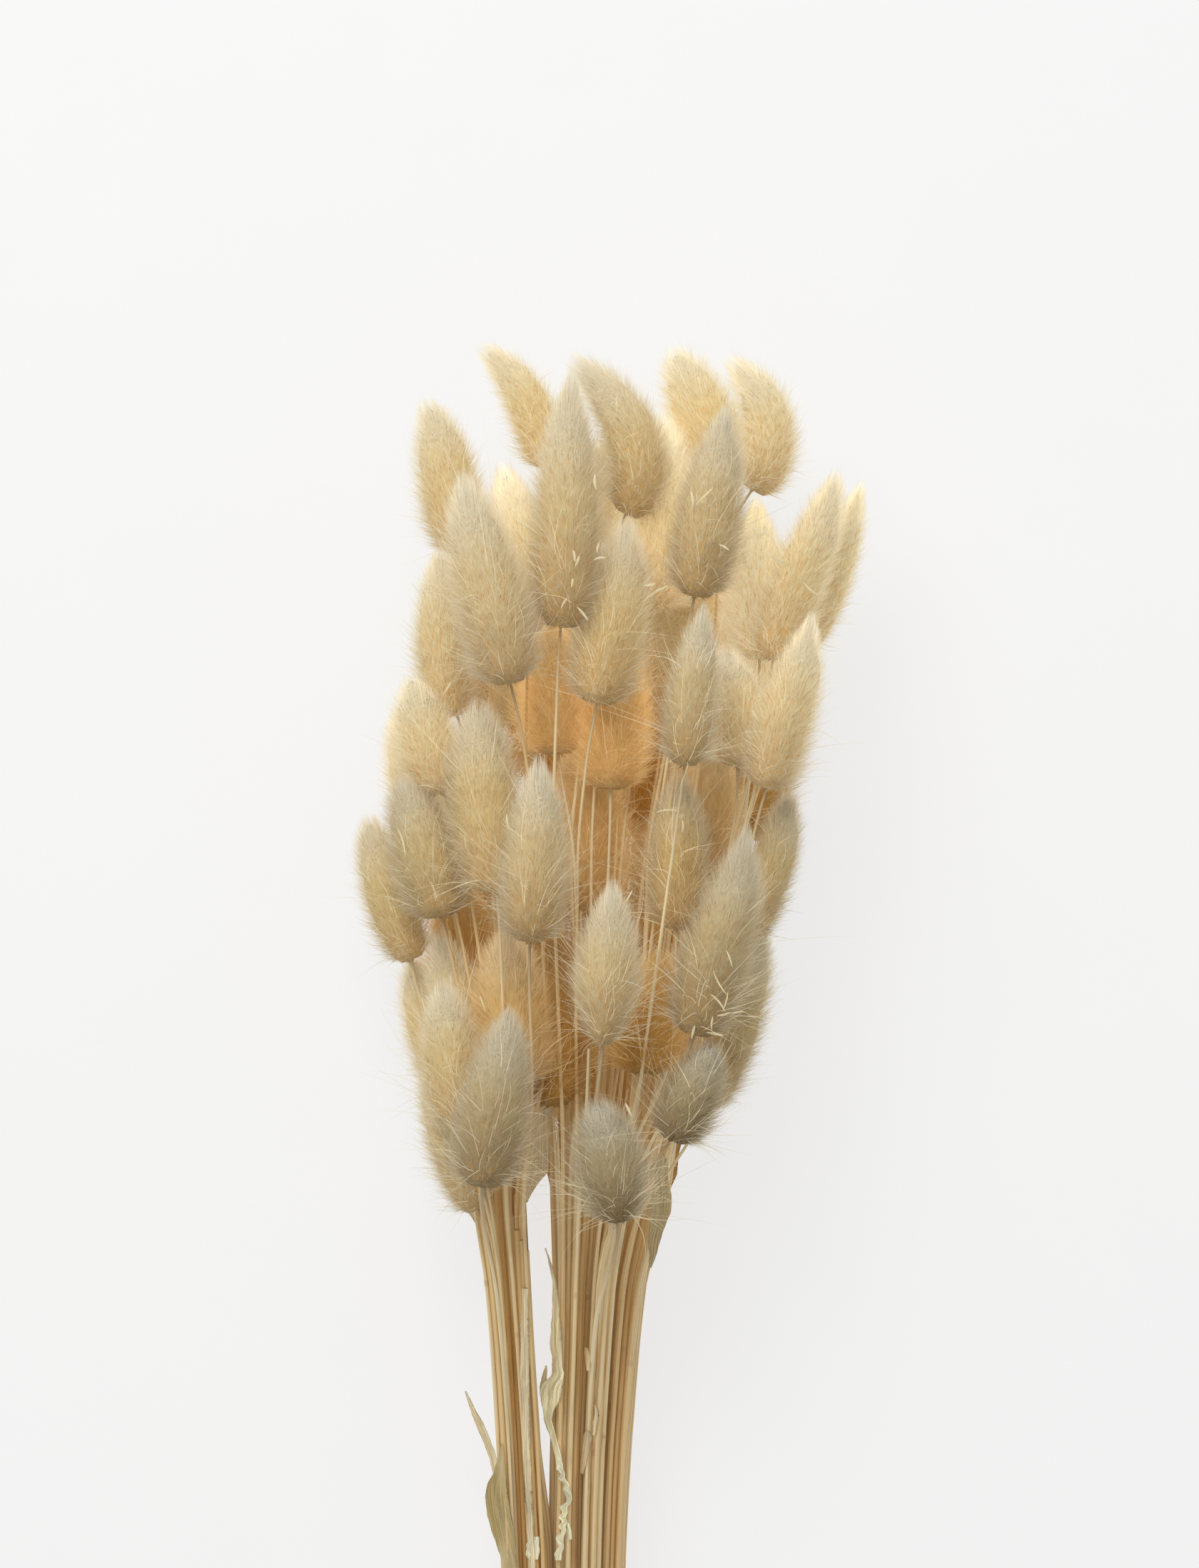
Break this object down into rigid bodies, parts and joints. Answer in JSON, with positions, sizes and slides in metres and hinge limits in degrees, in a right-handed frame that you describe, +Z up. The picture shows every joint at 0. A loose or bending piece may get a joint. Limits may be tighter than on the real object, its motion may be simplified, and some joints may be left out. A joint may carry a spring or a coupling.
{
  "type": "dried bunny tail grass bunch",
  "caption": "A tied bunch of dried hare's-tail grass lying on its side: soft cream oval flower heads on thin straw stems with a few papery leaves",
  "frame": {"origin": "on the ground plane, under the middle of the bunch's bounding box", "axes": "X across the bunch, Y along the stems from the cut ends to the heads, Z up; the bunch lies on its side on Z = 0"},
  "size_m": [0.1444, 0.4894, 0.0962],
  "materials": {
    "straw": "matte dry straw and soft cream hair",
    "dry_leaf": "matte papery dry leaf",
    "twine": "matte jute twine"
  },
  "bodies": {
    "root": {"shoot_01": "straw", "shoot_02": "straw", "shoot_03": "straw", "shoot_04": "straw", "shoot_05": "straw", "shoot_06": "straw", "shoot_07": "straw", "shoot_08": "straw", "shoot_09": "straw", "shoot_10": "straw", "shoot_11": "straw", "shoot_12": "straw", "shoot_13": "straw", "shoot_14": "straw", "shoot_15": "straw", "shoot_16": "straw", "shoot_17": "straw", "shoot_18": "straw", "shoot_19": "straw", "shoot_20": "straw", "shoot_21": "straw", "shoot_22": "straw", "shoot_23": "straw", "shoot_24": "straw", "shoot_25": "straw", "shoot_26": "straw", "shoot_27": "straw", "shoot_28": "straw", "shoot_29": "straw", "shoot_30": "straw", "shoot_31": "straw", "shoot_32": "straw", "shoot_33": "straw", "shoot_34": "straw", "shoot_35": "straw", "shoot_36": "straw", "shoot_37": "straw", "shoot_38": "straw", "shoot_39": "straw", "shoot_40": "straw", "shoot_41": "straw", "shoot_42": "straw", "shoot_43": "straw", "shoot_44": "straw", "shoot_45": "straw", "shoot_46": "straw", "shoot_47": "straw", "shoot_48": "straw", "shoot_49": "straw", "shoot_50": "straw", "shoot_51": "straw", "shoot_52": "straw", "shoot_53": "straw", "shoot_54": "straw", "shoot_55": "straw", "shoot_56": "straw", "leaf_middle": "dry_leaf", "leaf_left": "dry_leaf", "leaf_right": "dry_leaf", "tie_twine": "twine"}
  },
  "joints": []
}
